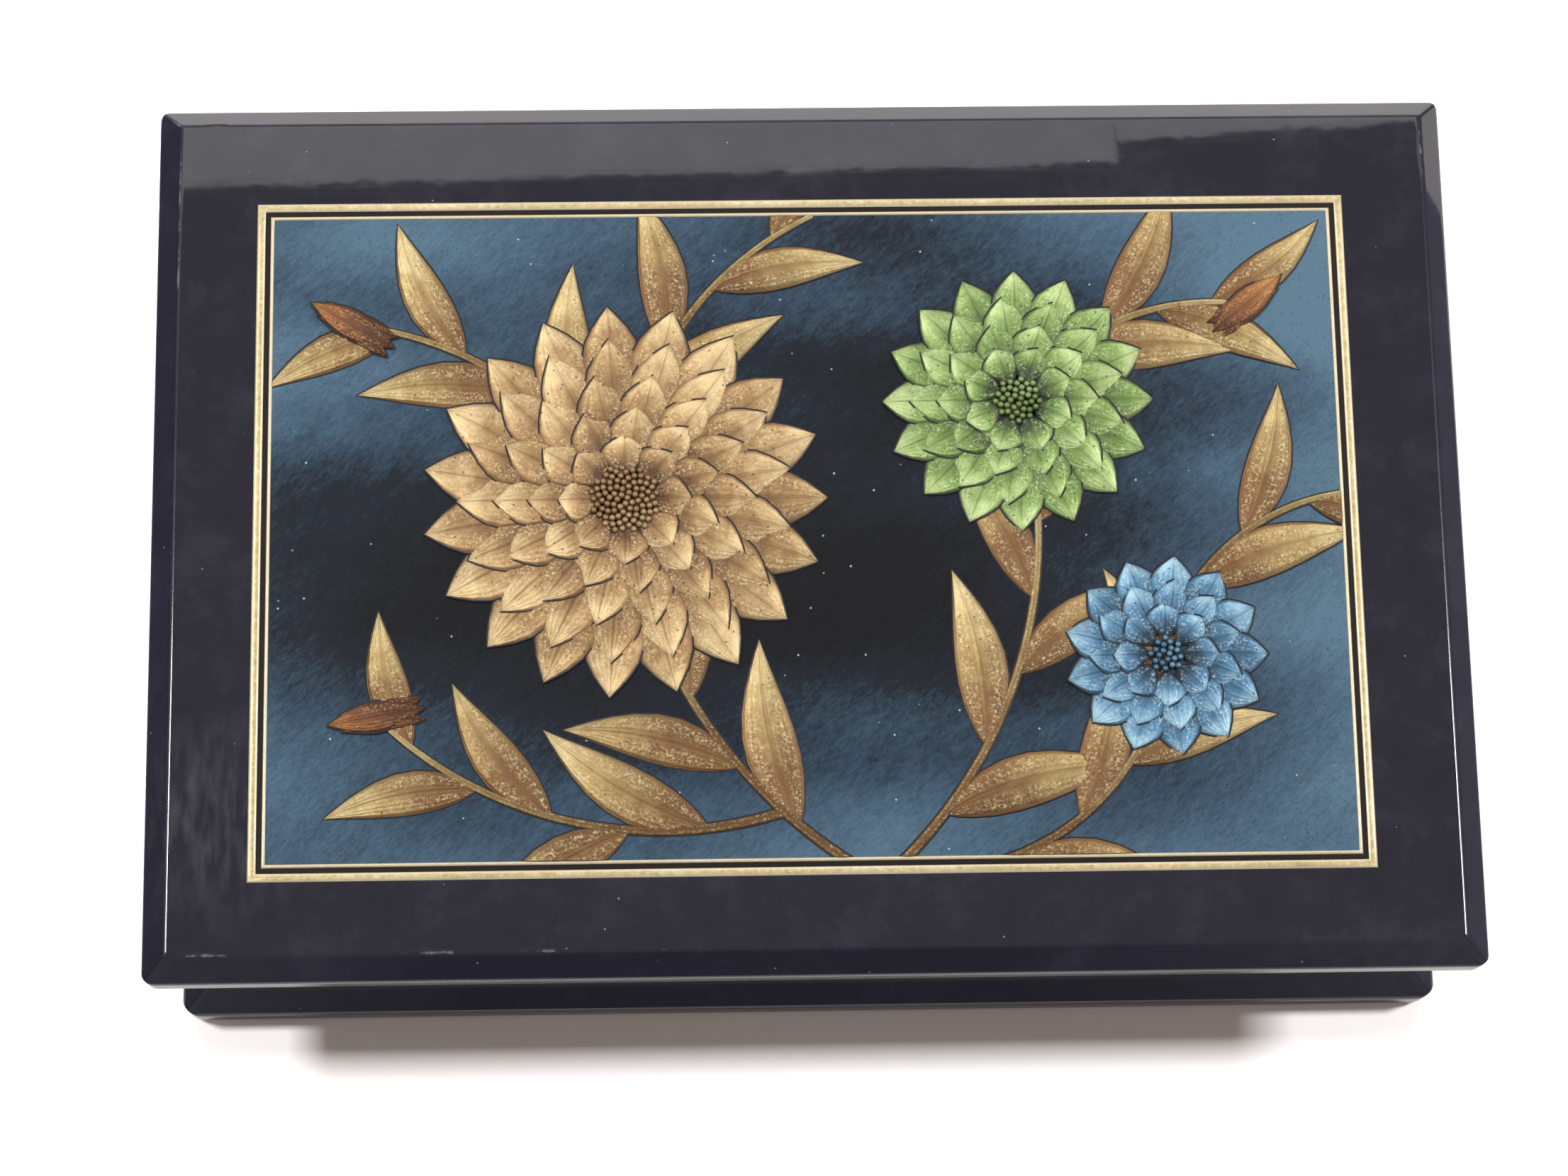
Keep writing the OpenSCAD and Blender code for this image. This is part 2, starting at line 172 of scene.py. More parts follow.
# Pressed felt: matted wool fibres about 0.4 mm apart, dull, with a faint pale nap.
felt, tree = new_material("pressed wool felt")
place = add(tree, "TexCoord").outputs["Object"]
fibre = add(tree, "TexNoise", {"Vector": place, "Scale": 1 / (0.4 * MM), "Detail": 6.0,
            "Roughness": 0.7})
patch = add(tree, "TexNoise", {"Vector": place, "Scale": 1 / (9 * MM), "Detail": 2.0})
tone = add(tree, "MixRGB", {"Fac": 0.35, "Color1": fibre, "Color2": patch})
shade = add(tree, "ValToRGB", {"Fac": tone},
            stops=[(0.3, colour("#131c17")), (0.55, colour("#25322a")), (0.75, colour("#3d4c42"))])
bump = add(tree, "Bump", {"Height": fibre, "Strength": 0.7, "Distance": 0.15 * MM})
surface = add(tree, "BsdfPrincipled", {"Base Color": shade, "Roughness": 0.95, "Sheen Weight": 0.3,
              "Sheen Roughness": 0.5, "Normal": bump})
add(tree, "OutputMaterial", {"Surface": surface})

low, high = node_box("base_felt")
points, faces = board(
    edge_lines(low[0], high[0], FELT_LINES), edge_lines(low[1], high[1], FELT_LINES), FELT_CORNER,
    lambda x, y, in_x, in_y, edge: high[2] - round_edge(edge, FELT_EDGE),
    lambda x, y, in_x, in_y, edge: low[2] + round_edge(edge, FELT_EDGE / 2))
felt_sheet = make_piece("felt_sheet", points, faces, "base", ["base_felt"], felt)

# Base board.
# A flat board as deep as the lid and a little narrower, with a 45 degree bevel round its top. Bevels,
# edges and face were sprayed with black lacquer and polished, which rounded every arris a little.
BEVEL = 2.8 * MM
ARRIS = 1.0 * MM
UNDER_ARRIS = 0.6 * MM
BASE_CORNER = 2.2 * MM
MITRE_SOFT = 0.22 * MM
BOARD_LINES = np.concatenate([[0, 0.02, 0.05, 0.09], np.arange(0.14, 3.4, 0.12), [3.7, 4.4, 7, 20]]) * MM
WEAR = 0.95
WEAR_W = 0.35 * MM
RUBBED = 0.3
SMUDGE_SPOT = (-66 * MM, -33 * MM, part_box("lid_panel")[1][2])


def bevel_rise(inset, edge_height, arris):
    """Height of the top face at an inset from an edge: an arc of radius arris up from the edge, the 45
    degree bevel, and an arc that levels out into the flat face, both tangent at each end."""
    foot, knee = arris * (1 - math.sqrt(0.5)), arris * math.tan(math.pi / 8)
    low_arc = edge_height - knee + np.sqrt(np.clip(arris**2 - np.clip(arris - inset, 0, None)**2, 0, None))
    high_arc = edge_height + BEVEL - arris + np.sqrt(np.clip(arris**2 - (BEVEL + knee - inset)**2, 0, None))
    return np.select([inset < foot, inset < BEVEL - foot, inset < BEVEL + knee],
                     [low_arc, edge_height + inset, high_arc], edge_height + BEVEL)


def bevelled_top(height):
    """Top of a board, from its inset to the nearer side, so that the bevels mitre at a corner. The
    nearer of two insets a and b is (a + b - sqrt((a - b)**2 + s*s)) / 2, which softens the mitre over a
    width s."""
    def rise(x, y, in_x, in_y, edge):
        nearer = (in_x + in_y - np.sqrt((in_x - in_y) ** 2 + MITRE_SOFT**2)) / 2
        return bevel_rise(np.clip(nearer, 0, None), height - BEVEL, ARRIS)
    return rise


def mark_arrises(thing, worn=()):
    """Point attribute arris for where the lacquer wears and, at one spot, where a highlight is painted:
    (WEAR + RUBBED * rub) * exp(-(gap / width)**2), with gap the distance to the bevel's upper or lower line
    or to the bottom edge. A spot (x, y, reach, spread) in worn has a share exp(-(d / reach)**2) at distance
    d. rub is the sum of the shares, and width WEAR_W plus each spread times its share."""
    spots = np.empty(len(thing.data.vertices) * 3)
    thing.data.vertices.foreach_get("co", spots)
    spots = spots.reshape(-1, 3)
    half = spots.max(0)
    inset = np.min(half[:2] - np.abs(spots[:, :2]), axis=1)
    drop = half[2] - spots[:, 2]
    upper = np.hypot(inset - BEVEL, drop)
    lower = np.hypot(inset, drop - BEVEL)
    bottom = np.hypot(inset, spots[:, 2] - spots[:, 2].min())
    gap = np.minimum(np.minimum(upper, lower), bottom)
    rub, width = np.zeros(len(spots)), np.full(len(spots), WEAR_W)
    for x, y, reach, spread in worn:
        share = np.exp(-((spots[:, 0] - x) ** 2 + (spots[:, 1] - y) ** 2) / reach**2)
        rub += share
        width += spread * share
    layer = thing.data.attributes.new("arris", "FLOAT", "POINT")
    layer.data.foreach_set("value", (WEAR + RUBBED * rub) * np.exp(-(gap / width) ** 2))


# Black lacquer: a polished coat over wood, near black with a trace of navy. The eye gets its sharp
# reflections, a faint ripple, fine rubbing marks, dust, a smear from wiping near the lid's front left
# corner, and pale scuffs where the arrises are worn; along the back of the left arris the same pale
# colour also paints a faint highlight line.
lacquer, tree = new_material("polished black lacquer")
place = add(tree, "TexCoord").outputs["Object"]
cloud = add(tree, "TexNoise", {"Vector": place, "Scale": 1 / (9 * MM), "Detail": 8.0, "Roughness": 0.75})
depth = add(tree, "ValToRGB", {"Fac": cloud},
            stops=[(0.3, colour("#0f0d19")), (0.5, colour("#161421")), (0.72, colour("#2a2834"))])
grit = add(tree, "TexVoronoi", {"Vector": place, "Scale": 1 / (2.6 * MM)})
sparse = add(tree, "TexNoise", {"Vector": place, "Scale": 1 / (7 * MM), "Detail": 1.0})
dot = add(tree, "MapRange", {"Value": grit, "From Min": 0.045, "From Max": 0.025})
where = add(tree, "MapRange", {"Value": sparse, "From Min": 0.48, "From Max": 0.54})
speck = add(tree, "Math", {0: dot, 1: where}, operation="MULTIPLY")
edge = add(tree, "Attribute", attribute_name="arris")
knock = add(tree, "TexNoise", {"Vector": place, "Scale": 1 / (11 * MM), "Detail": 2.0})
nick = add(tree, "TexNoise", {"Vector": place, "Scale": 1 / (1.8 * MM), "Detail": 6.0,
           "Roughness": 0.65})
bared = add(tree, "Math", {0: knock, 1: nick}, operation="ADD")
bare = add(tree, "Math", {0: edge.outputs["Fac"], 1: bared}, operation="MULTIPLY")
# Pale scuffs on the worn arrises, and along the back of the left arris a painted highlight line in the same
# colour.
scuffs_and_painted_highlight = add(tree, "MapRange", {"Value": bare, "From Min": 1.12, "From Max": 1.26, "To Max": 0.36})
marks = add(tree, "Math", {0: scuffs_and_painted_highlight, 1: speck}, operation="MAXIMUM")
far = add(tree, "VectorMath", {0: place, 1: SMUDGE_SPOT}, operation="DISTANCE")
patch = add(tree, "MapRange", {"Value": far.outputs["Value"], "From Min": 13 * MM, "From Max": 4 * MM})
wiped = add(tree, "Mapping", {"Vector": place, "Scale": (4.0, 1.0, 1.0)})
smear = add(tree, "TexNoise", {"Vector": wiped, "Scale": 1 / (5 * MM), "Detail": 5.0})
film = add(tree, "MapRange", {"Value": smear, "From Min": 0.4, "From Max": 0.75, "To Max": 0.13})
smudge = add(tree, "Math", {0: patch, 1: film}, operation="MULTIPLY")
hazed = add(tree, "MixRGB", {"Fac": smudge, "Color1": depth, "Color2": colour("#a8a6b2")})
coat = add(tree, "MixRGB", {"Fac": marks, "Color1": hazed, "Color2": colour("#a39fa8")})
turned = add(tree, "Mapping", {"Vector": place, "Rotation": (0.0, 0.0, 0.5), "Scale": (1.0, 24.0, 24.0)})
rub = add(tree, "TexNoise", {"Vector": turned, "Scale": 1 / (14 * MM), "Detail": 4.0})
haze = add(tree, "MapRange", {"Value": rub, "From Min": 0.5, "From Max": 0.8, "To Min": 0.022,
           "To Max": 0.05})
handled = add(tree, "MapRange", {"Value": edge.outputs["Fac"], "From Min": 0.4, "From Max": 0.9,
              "To Max": 0.26})
dulled = add(tree, "Math", {0: haze, 1: handled}, operation="MAXIMUM")
gloss = add(tree, "Math", {0: dulled, 1: marks}, operation="MAXIMUM")
ripple = add(tree, "TexNoise", {"Vector": place, "Scale": 1 / (6 * MM), "Detail": 2.0})
bump = add(tree, "Bump", {"Height": ripple, "Strength": 0.5, "Distance": 0.01 * MM})
surface = add(tree, "BsdfPrincipled", {"Base Color": coat, "Roughness": gloss, "IOR": 1.5,
              "Normal": bump})
add(tree, "OutputMaterial", {"Surface": surface})

low, high = node_box("base_board")
points, faces = board(
    edge_lines(low[0], high[0], BOARD_LINES), edge_lines(low[1], high[1], BOARD_LINES), BASE_CORNER,
    bevelled_top(high[2]), lambda x, y, in_x, in_y, edge: low[2] + round_edge(edge, UNDER_ARRIS))
base = make_piece("bevelled_base", points, faces, "base", ["base_board"], lacquer)
mark_arrises(base)

# Walls.
# Four boards with mitred ends, glued on the base and set back from its edge, lacquered with it. The back
# one is let out for the hinge leaves.
for name in ("front_wall", "back_wall", "left_wall", "right_wall"):
    frame["nodes"][name].material_slots[0].material = lacquer

# Lining.
# Card panels covered in wine red velvet, pushed in face to face: one on the floor, four against the
# walls and one glued under the lid. The pile turns each edge over in a soft round.
PILE_EDGE = 0.5 * MM
PILE_CROWN = 0.12 * MM
CROWN_POWER = 0.3
PANEL_LINES = np.array([0, 0.04, 0.12, 0.25, 0.5, 0.8, 1.6, 4, 9, 18, 30]) * MM

velvet, tree = new_material("wine red velvet")
place = add(tree, "TexCoord").outputs["Object"]
pile = add(tree, "TexNoise", {"Vector": place, "Scale": 1 / (0.2 * MM), "Detail": 3.0, "Roughness": 0.6})
brushed = add(tree, "TexNoise", {"Vector": place, "Scale": 1 / (26 * MM), "Detail": 2.0,
              "Distortion": 0.6})
lay = add(tree, "MixRGB", {"Fac": 0.4, "Color1": pile, "Color2": brushed})
shade = add(tree, "ValToRGB", {"Fac": lay},
            stops=[(0.3, colour("#42080f")), (0.52, colour("#5f101c")), (0.72, colour("#7c1b2a"))])
bump = add(tree, "Bump", {"Height": pile, "Strength": 0.35, "Distance": 0.1 * MM})
surface = add(tree, "BsdfPrincipled", {"Base Color": shade, "Roughness": 0.9, "Sheen Weight": 0.7,
              "Sheen Roughness": 0.35, "Sheen Tint": colour("#d06070"), "Normal": bump})
add(tree, "OutputMaterial", {"Surface": surface})


def velvet_panel(node, body):
    """Board in the box of a CAD node, its thin side along the box's thinnest axis, with round edges.
    Both faces fall towards their edges by PILE_CROWN * (1 - c**CROWN_POWER), with c the sine of pi times
    the share of the way along, times the same for the way across."""
    low, high = node_box(node)
    thin = int(np.argmin(high - low))
    order = [(thin + 1) % 3, (thin + 2) % 3, thin]
    low, high = low[order], high[order]
    size = high - low

    def swell(x, y):
        crown = np.sin(np.pi * (x - low[0]) / size[0]) * np.sin(np.pi * (y - low[1]) / size[1])
        return PILE_CROWN * (1 - np.clip(crown, 0, 1) ** CROWN_POWER)

    points, faces = board(
        edge_lines(low[0], high[0], PANEL_LINES[PANEL_LINES < size[0] / 2]),
        edge_lines(low[1], high[1], PANEL_LINES[PANEL_LINES < size[1] / 2]), PILE_EDGE,
        lambda x, y, in_x, in_y, edge: high[2] - round_edge(edge, PILE_EDGE) - swell(x, y),
        lambda x, y, in_x, in_y, edge: low[2] + round_edge(edge, PILE_EDGE) + swell(x, y))
    back = np.argsort(order)
    make_piece(node + "_velvet", points[:, back], faces, body, [node], velvet)


for node in ("floor_lining", "front_lining", "back_lining", "left_lining", "right_lining"):
    velvet_panel(node, "base")

# Hinges.
# Two small brass butt hinges: stamped leaves rolled round a headed pin, three knuckles on the wall's
# leaf and two on the lid's, each leaf held by three countersunk screws.
def brass_metal(name, dull, plain, bright, drawn_out):
    """Brass with faint stains 4 mm across and a fine grain, drawn out along X so many times; it gives
    the eye a warm broken shine."""
    material, tree = new_material(name)
    place = add(tree, "TexCoord").outputs["Object"]
    drawn = add(tree, "Mapping", {"Vector": place, "Scale": (1.0, drawn_out, drawn_out)})
    grain = add(tree, "TexNoise", {"Vector": drawn, "Scale": 1 / (3 * MM), "Detail": 4.0})
    stain = add(tree, "TexNoise", {"Vector": place, "Scale": 1 / (4 * MM), "Detail": 5.0})
    shade = add(tree, "ValToRGB", {"Fac": stain},
                stops=[(0.3, colour(dull)), (0.55, colour(plain)), (0.75, colour(bright))])
    wear = add(tree, "MapRange", {"Value": grain, "From Min": 0.3, "From Max": 0.7, "To Min": 0.25,
               "To Max": 0.36})
    bump = add(tree, "Bump", {"Height": grain, "Strength": 0.08, "Distance": 0.02 * MM})
    surface = add(tree, "BsdfPrincipled", {"Base Color": shade, "Metallic": 1.0, "Roughness": wear,
                  "Normal": bump})
    add(tree, "OutputMaterial", {"Surface": surface})
    return material


brass = brass_metal("rolled brass", "#96763e", "#c29c58", "#d6b470", 24.0)
screw_brass = brass_metal("turned brass", "#6e5227", "#947240", "#ab8850", 1.0)
for side in ("left", "right"):
    for part in ("wall_leaf", "lid_leaf", "pin"):
        frame["nodes"][f"{side}_hinge_{part}"].material_slots[0].material = brass
for name in ("wall_hinge_screws", "lid_hinge_screws"):
    frame["nodes"][name].material_slots[0].material = screw_brass

# Lid board.
# The same bevelled board as the base, with a shallow pocket in its face for the picture and, underneath,
# a pocket for each hinge leaf and a round groove for each barrel.
LID_CORNER = 1.6 * MM
LEAF_GAP = 0.15 * MM
LEAF_POCKET = 0.9 * MM
GROOVE_GAP = 0.35 * MM
GROOVE_STEPS = 9
# Spots on the arrises: x, y, reach and spread, with grid lines at WORN_STEPS times the reach. The first
# five are worn spots; the last, along the back of the left arris, paints a faint highlight line there with
# the pale scuff colour.
WORN_AND_HIGHLIGHT_SPOTS = np.array([(-42, -48.4, 6, 0.3), (-31, -48.4, 4.5, 0.3), (-68, -48.4, 3.5, 0.2),
                 (56, -48.4, 3, 0.4), (72.2, 44, 2.5, 0.3), (-72.2, 36, 11, 0)]) * MM
WORN_STEPS = np.linspace(-2, 2, 9)
lid_low, lid_high = node_box("lid_panel")
plate_low, plate_high = node_box("picture_plate")
hinge_y = frame["joints"][0]["pos_m"][1]
leaf_boxes = [node_box(side + "_hinge_lid_leaf") for side in ("left", "right")]
pin_boxes = [node_box(side + "_hinge_pin") for side in ("left", "right")]
groove_r = leaf_boxes[0][1][1] - hinge_y + GROOVE_GAP


def lid_top(x, y, in_x, in_y, edge):
    """Bevelled top, sunk to the plate's underside inside the picture's outline."""
    inside = (x > plate_low[0]) & (x < plate_high[0]) & (y > plate_low[1]) & (y < plate_high[1])
    return np.where(inside, plate_low[2], bevelled_top(lid_high[2])(x, y, in_x, in_y, edge))


def lid_under(x, y, in_x, in_y, edge):
    """Flat underside with a round arris, raised to the leaf pockets and to the barrel grooves, which are
    arcs of radius groove_r about the hinge's centre line."""
    height = round_edge(edge, UNDER_ARRIS)
    bow = np.sqrt(np.clip(groove_r**2 - (y - hinge_y) ** 2, 0, None))
    for leaf, pin in zip(leaf_boxes, pin_boxes):
        in_leaf = (x > leaf[0][0] - LEAF_GAP) & (x < leaf[1][0] + LEAF_GAP)
        in_leaf &= (y > leaf[0][1] - LEAF_GAP) & (y < hinge_y)
        in_groove = (x > pin[0][0] - GROOVE_GAP) & (x < pin[1][0] + GROOVE_GAP)
        height = np.where(in_leaf, np.maximum(height, LEAF_POCKET), height)
        height = np.where(in_groove, np.maximum(height, bow), height)
    return lid_low[2] + height


x_marks = [plate_low[0], plate_high[0]]
for leaf, pin in zip(leaf_boxes, pin_boxes):
    x_marks += [leaf[0][0] - LEAF_GAP, leaf[1][0] + LEAF_GAP]
    x_marks += [pin[0][0] - GROOVE_GAP, pin[1][0] + GROOVE_GAP]
y_marks = [plate_low[1], plate_high[1], leaf_boxes[0][0][1] - LEAF_GAP, hinge_y]
y_marks += list(hinge_y + groove_r * np.sin(np.linspace(-1, 1, GROOVE_STEPS) * math.pi / 2))
spot_x, spot_y = ((WORN_AND_HIGHLIGHT_SPOTS[:, axis, None] + WORN_AND_HIGHLIGHT_SPOTS[:, 2, None] * WORN_STEPS).ravel() for axis in (0, 1))
spot_x = spot_x[np.abs(spot_x) < lid_high[0] - LID_CORNER]
spot_y = spot_y[np.abs(spot_y) < lid_high[1] - LID_CORNER]
x_lines = np.union1d(edge_lines(lid_low[0], lid_high[0], BOARD_LINES, x_marks), spot_x)
y_lines = np.union1d(edge_lines(lid_low[1], lid_high[1], BOARD_LINES, y_marks), spot_y)
points, faces = board(x_lines, y_lines, LID_CORNER, lid_top, lid_under)
lid = make_piece("bevelled_lid", points, faces, "lid", ["lid_panel"], lacquer)
mark_arrises(lid, WORN_AND_HIGHLIGHT_SPOTS)
velvet_panel("lid_lining", "lid")

# Picture plate.
# Thin foil, printed and embossed: a black margin under the gold lines, and inside it a deep blue ground,
# lighter towards the corners and the right and darker round the middle as painted light and shade,
# grained with slanting strokes and dusted with specks.
INNER_LINE_W = 0.42 * MM
MARGIN_FROM = 1.002
PAINTED_LIGHT_RIGHT = 0.08
SLANT = 0.75
line_low, line_high = node_box("inner_gold_line")
field_middle = (line_low + line_high) / 2
field_half = (line_high - line_low) / 2 - INNER_LINE_W

ground, tree = new_material("printed blue foil")
place = add(tree, "TexCoord").outputs["Object"]
centred = add(tree, "Mapping", {"Vector": place, "Location": (-field_middle[0], -field_middle[1], 0.0)})
axes = add(tree, "SeparateXYZ", {"Vector": centred})
share_x = add(tree, "Math", {0: axes.outputs["X"], 1: 1 / field_half[0]}, operation="MULTIPLY")
share_y = add(tree, "Math", {0: axes.outputs["Y"], 1: 1 / field_half[1]}, operation="MULTIPLY")
far_x = add(tree, "Math", {0: share_x}, operation="ABSOLUTE")
far_y = add(tree, "Math", {0: share_y}, operation="ABSOLUTE")
outside = add(tree, "Math", {0: far_x, 1: far_y}, operation="MAXIMUM")
margin = add(tree, "Math", {0: outside, 1: MARGIN_FROM}, operation="GREATER_THAN")
square_x = add(tree, "Math", {0: share_x, 1: 2.0}, operation="POWER")
square_y = add(tree, "Math", {0: share_y, 1: 2.0}, operation="POWER")
reach = add(tree, "Math", {0: square_x, 1: square_y}, operation="ADD")
slant = add(tree, "Mapping", {"Vector": place, "Rotation": (0.0, 0.0, -SLANT), "Scale": (1.0, 3.2, 1.0)})
drift = add(tree, "TexNoise", {"Vector": slant, "Scale": 1 / (55 * MM), "Detail": 1.0})
cloud = add(tree, "MapRange", {"Value": drift, "To Min": 0.16, "To Max": 0.86})
stroke = add(tree, "Mapping", {"Vector": place, "Rotation": (0.0, 0.0, SLANT), "Scale": (1.0, 0.4, 1.0)},
             vector_type="TEXTURE")
hatch = add(tree, "TexNoise", {"Vector": stroke, "Scale": 1 / (0.9 * MM), "Detail": 5.0,
            "Roughness": 0.7})
# Painted light and shade: the ground is lifted towards the corners and to the right, and darkened round the
# middle.
light = add(tree, "MapRange", {"Value": reach, "From Min": 0.1, "From Max": 1.5, "To Min": -0.18,
            "To Max": 0.21})
painted_light = add(tree, "Math", {0: share_x, 1: PAINTED_LIGHT_RIGHT, 2: light}, operation="MULTIPLY_ADD")
tone = add(tree, "Math", {0: cloud, 1: painted_light}, operation="ADD")
fine = add(tree, "MapRange", {"Value": hatch, "From Min": 0.3, "From Max": 0.7, "To Min": -0.07,
           "To Max": 0.07})
brush = add(tree, "TexNoise", {"Vector": stroke, "Scale": 1 / (5 * MM), "Detail": 2.0})
broad = add(tree, "MapRange", {"Value": brush, "From Min": 0.3, "From Max": 0.7, "To Min": -0.025,
            "To Max": 0.025})
strokes = add(tree, "Math", {0: broad, 1: fine}, operation="ADD")
toned = add(tree, "Math", {0: tone, 1: strokes}, operation="ADD")
blue = add(tree, "ValToRGB", {"Fac": toned},
           stops=[(0.26, colour("#0a090c")), (0.42, colour("#151c25")), (0.56, colour("#314556")),
                  (0.78, colour("#516c7f"))])
dust = add(tree, "TexVoronoi", {"Vector": place, "Scale": 1 / (1.5 * MM)})
dot = add(tree, "MapRange", {"Value": dust, "From Min": 0.1, "From Max": 0.05})
lit = add(tree, "SeparateXYZ", {"Vector": dust.outputs["Color"]})
pale = add(tree, "Math", {0: lit.outputs["X"], 1: 0.82}, operation="GREATER_THAN")
speck = add(tree, "Math", {0: dot, 1: pale}, operation="MULTIPLY")
dusted = add(tree, "MixRGB", {"Fac": speck, "Color1": blue, "Color2": colour("#a9bcc4")})
pit = add(tree, "TexVoronoi", {"Vector": place, "Scale": 1 / (0.55 * MM)})
mouth = add(tree, "MapRange", {"Value": pit, "From Min": 0.22, "From Max": 0.1, "To Max": 0.6})
picked = add(tree, "SeparateXYZ", {"Vector": pit.outputs["Color"]})
opened = add(tree, "Math", {0: picked.outputs["X"], 1: 0.5}, operation="GREATER_THAN")
hole = add(tree, "Math", {0: mouth, 1: opened}, operation="MULTIPLY")
pitted = add(tree, "MixRGB", {"Fac": hole, "Color1": dusted, "Color2": colour("#10181f")})
printed = add(tree, "MixRGB", {"Fac": margin, "Color1": pitted, "Color2": colour("#1b1210")})
bump = add(tree, "Bump", {"Height": hatch, "Strength": 0.55, "Distance": 0.08 * MM})
surface = add(tree, "BsdfPrincipled", {"Base Color": printed, "Metallic": 0.3, "Roughness": 0.42,
              "Specular IOR Level": 0.2, "Normal": bump})
add(tree, "OutputMaterial", {"Surface": surface})
frame["nodes"]["picture_plate"].material_slots[0].material = ground

# Gold lines.
# A wide and a thin line of gold foil stamped round the picture, low and slightly domed, worn paler along
# their rims, where the foil is stretched, so that the thin one is pale all over.
OUTER_LINE_W = 0.95 * MM
NEAR_CORNER = 3
gold, tree = new_material("stamped gold foil")
place = add(tree, "TexCoord").outputs["Object"]
grain = add(tree, "TexNoise", {"Vector": place, "Scale": 1 / (0.5 * MM), "Detail": 4.0,
            "Roughness": 0.6})
cloud = add(tree, "TexNoise", {"Vector": place, "Scale": 1 / (12 * MM), "Detail": 2.0})
tone = add(tree, "MixRGB", {"Fac": 0.3, "Color1": grain, "Color2": cloud})
shade = add(tree, "ValToRGB", {"Fac": tone},
            stops=[(0.32, colour("#a39161")), (0.5, colour("#c1ae7f")), (0.68, colour("#d8cba6"))])
rim = add(tree, "Attribute", attribute_name="rim")
stretched = add(tree, "MapRange", {"Value": rim.outputs["Fac"], "From Min": 0.3 * MM,
                "From Max": 0.12 * MM, "To Max": 0.75})
worn = add(tree, "MixRGB", {"Fac": stretched, "Color1": shade, "Color2": colour("#d2c8ac")})
bump = add(tree, "Bump", {"Height": grain, "Strength": 0.35, "Distance": 0.05 * MM})
surface = add(tree, "BsdfPrincipled", {"Base Color": worn, "Metallic": 0.45, "Roughness": 0.4,
              "Normal": bump})
add(tree, "OutputMaterial", {"Surface": surface})


def stamped_line(name, node, width):
    """Rectangular line with mitred corners: a profile domed as height * (1 - w**4), w from -1 to 1
    across the line, carried round the node's outline, with a column NEAR_CORNER widths from each corner
    to keep the sides flat. The point attribute rim is the distance to the nearer rim."""
    low, high = node_box(node)
    across = np.array([-1, -0.97, -0.8, -0.4, 0, 0.4, 0.8, 0.97, 1])
    offset = width * (across + 1) / 2
    rise = low[2] + (high[2] - low[2]) * (1 - across**4)
    rise[[0, -1]] = low[2] - HAIR
    turns = np.array([[-1, -1], [1, -1], [1, 1], [-1, 1]])
    middle, half = (low + high)[:2] / 2, (high - low)[:2] / 2
    near = NEAR_CORNER * width
    column = []
    for k, corner in enumerate(turns):
        before, after = (turns[k - 1] - corner) / 2, (turns[(k + 1) % 4] - corner) / 2
        spot = middle + corner * (half - offset[:, None])
        column += [spot + before * near, spot, spot + after * near]
    flat = np.stack(column)
    points = np.concatenate([flat, np.broadcast_to(rise[None, :, None], (*flat.shape[:2], 1))], -1)
    rows, columns = flat.shape[:2]
    number = np.arange(rows * columns).reshape(rows, columns)
    faces = grid_quads(np.concatenate([number, number[:1]]))
    thing = make_piece(name, points.reshape(-1, 3), faces, "lid", [node], gold)
    layer = thing.data.attributes.new("rim", "FLOAT", "POINT")
    layer.data.foreach_set("value", np.tile(width / 2 * (1 - np.abs(across)), rows))


stamped_line("outer_line", "outer_gold_line", OUTER_LINE_W)
stamped_line("inner_line", "inner_gold_line", INNER_LINE_W)

# Embossed foliage.
# Stems in arcs across the field with pointed leaves on alternate sides, pressed up from behind the foil,
# gilded, and outlined in the dark of the ground.
OUTLINE = 0.2 * MM
STEM_W = 1.1 * MM
STEM_RISE = 0.22 * MM
STEM_TAPER = 0.6
STALK_STEPS = 41
LEAF_L = 23 * MM
LEAF_W = 6.4 * MM
LEAF_RISE = 0.28 * MM
LEAF_SPREAD = math.radians(38)
LEAF_FULLNESS = 0.8
LEAF_BEND = 0.06
LEAF_SHRINK = 0.3
LAST_LEAF_GAP = 0.6
BLADE_STEPS = 13
TIP_POWER = 0.4
MIDRIB_DEPTH = 0.35
MIDRIB_W = 0.14
UNDER_SHARE = 0.15
UNDER_REACH = 3 * MM
STEP_UP = 0.002 * MM
MERGE = STEP_UP / 20
TINT_STEP = 0.618
# Rows across a blade or stem, and their places in its UV, with the flat outline outside them.
ROWS = np.array([-1, -0.94, -0.75, -0.4, -0.1, 0, 0.1, 0.4, 0.75, 0.94, 1])
ACROSS = np.concatenate([[0], 0.5 + 0.45 * ROWS, [1]])[None, :]
# Places on the field of blossoms and buds, and each stem's start, end, bow and number of leaves.
large_at, green_at, blue_at = (-0.34, 0.10), (0.40, 0.40), (0.66, -0.40)
bud_at = [(-0.85, 0.66), (-0.80, -0.56), (0.84, 0.70)]
stems = [((0.10, -1.05), large_at, 0.12, 5), ((0.14, -1.05), green_at, -0.14, 6),
         ((0.24, -1.05), blue_at, -0.18, 4), (large_at, bud_at[0], -0.12, 4),
         ((-0.05, -0.86), bud_at[1], 0.14, 5), (green_at, bud_at[2], 0.14, 4),
         (large_at, (0.02, 1.00), 0.14, 4), (blue_at, (1.02, 0.10), 0.16, 3)]


def on_field(share):
    """Point of the picture from its shares of the field's half width and half depth."""
    return field_middle[:2] + np.array(share) * field_half[:2]


